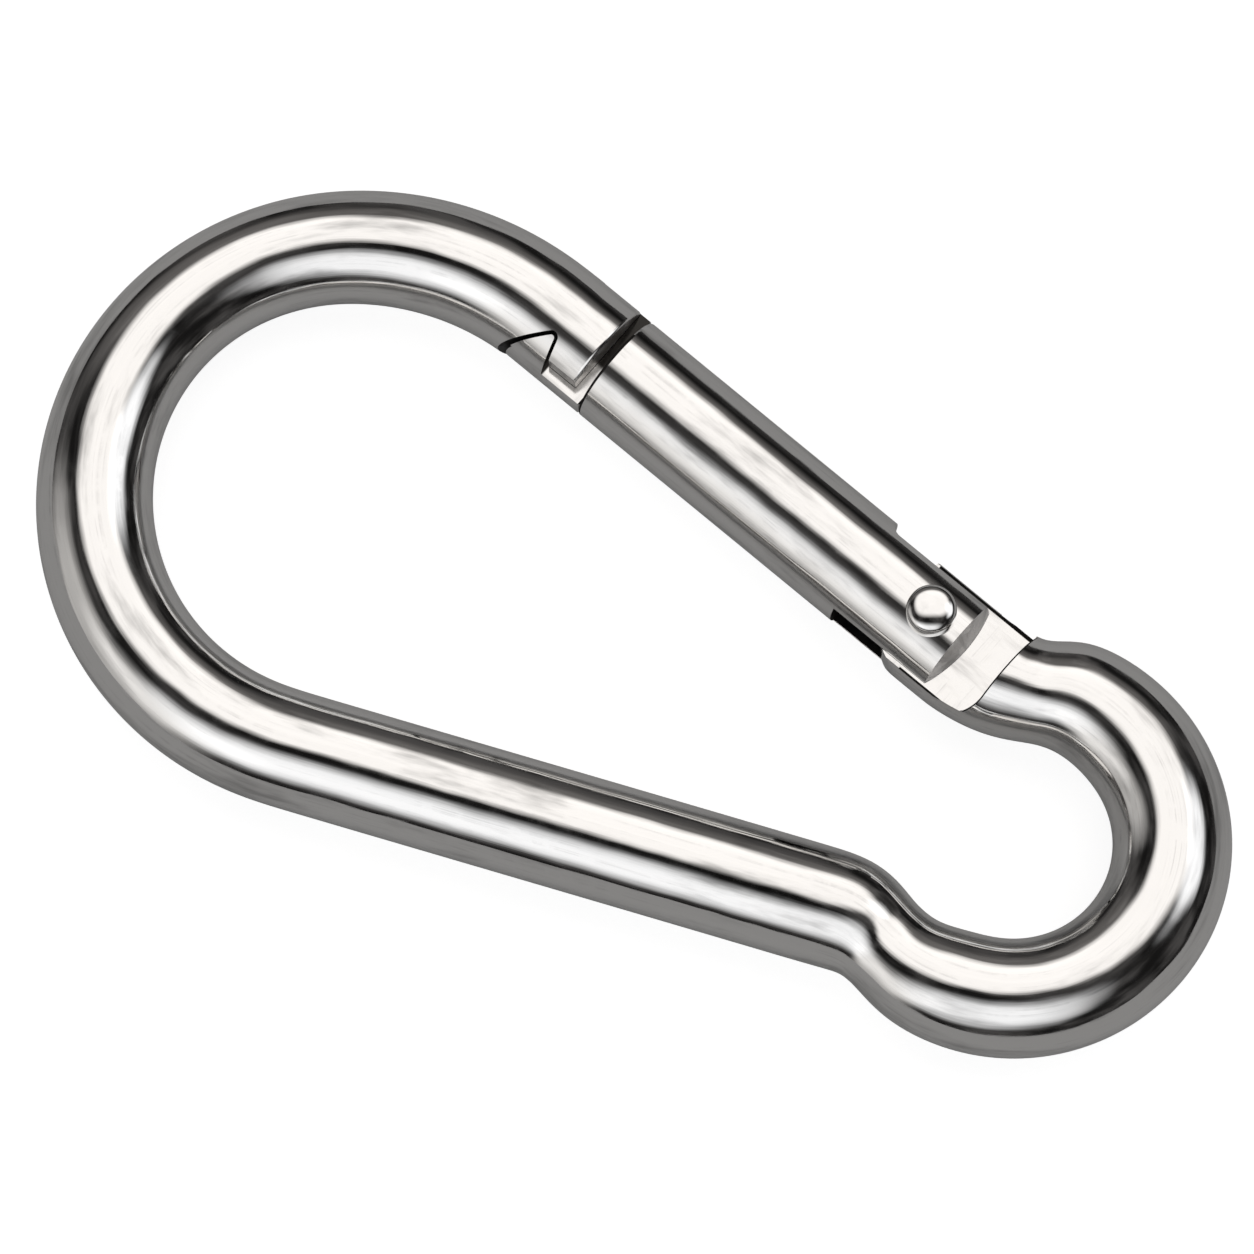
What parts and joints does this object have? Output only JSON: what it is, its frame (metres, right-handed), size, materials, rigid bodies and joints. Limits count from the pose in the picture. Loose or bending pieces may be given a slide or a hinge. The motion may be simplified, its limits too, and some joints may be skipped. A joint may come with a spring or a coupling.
{
  "type": "carabiner snap hook",
  "caption": "Round-rod steel snap hook with a pear-shaped bow, a small eye and a sprung gate hinged on a domed rivet.",
  "frame": {"origin": "centre of the closed hook's box, in the bar's middle plane", "axes": "+X from the bow to the eye, +Y to the gate side, +Z across the thickness, along the rivet"},
  "size_m": [0.1184, 0.06, 0.0144],
  "materials": {
    "polished_steel": "mirror-polished stainless steel",
    "rivet_steel": "bright turned stainless steel",
    "spring_wire": "drawn spring wire"
  },
  "bodies": {
    "hook": {"hook_body": "polished_steel"},
    "gate": {"gate": "polished_steel", "hinge_rivet": "rivet_steel", "gate_spring": "spring_wire"},
    "plunger": {"plunger": "rivet_steel"}
  },
  "joints": [
    {"name": "gate_hinge", "type": "hinge", "parent": "hook", "child": "gate", "pos_m": [0.0226, 0.01469, 0], "axis": [0, 0, 1], "range_deg": [0, 40], "stiffness_Nm_per_rad": 0.15, "springref_deg": -40.11},
    {"name": "plunger_slide", "type": "slide", "parent": "gate", "child": "plunger", "axis": [-0.9792, 0.2028, 0], "range_m": [0, 0.0013], "deforming": ["gate_spring"]}
  ],
  "couplings": [
    {"joint": "plunger_slide", "follows": "gate_hinge", "m_per_rad": 0.0016657}
  ]
}
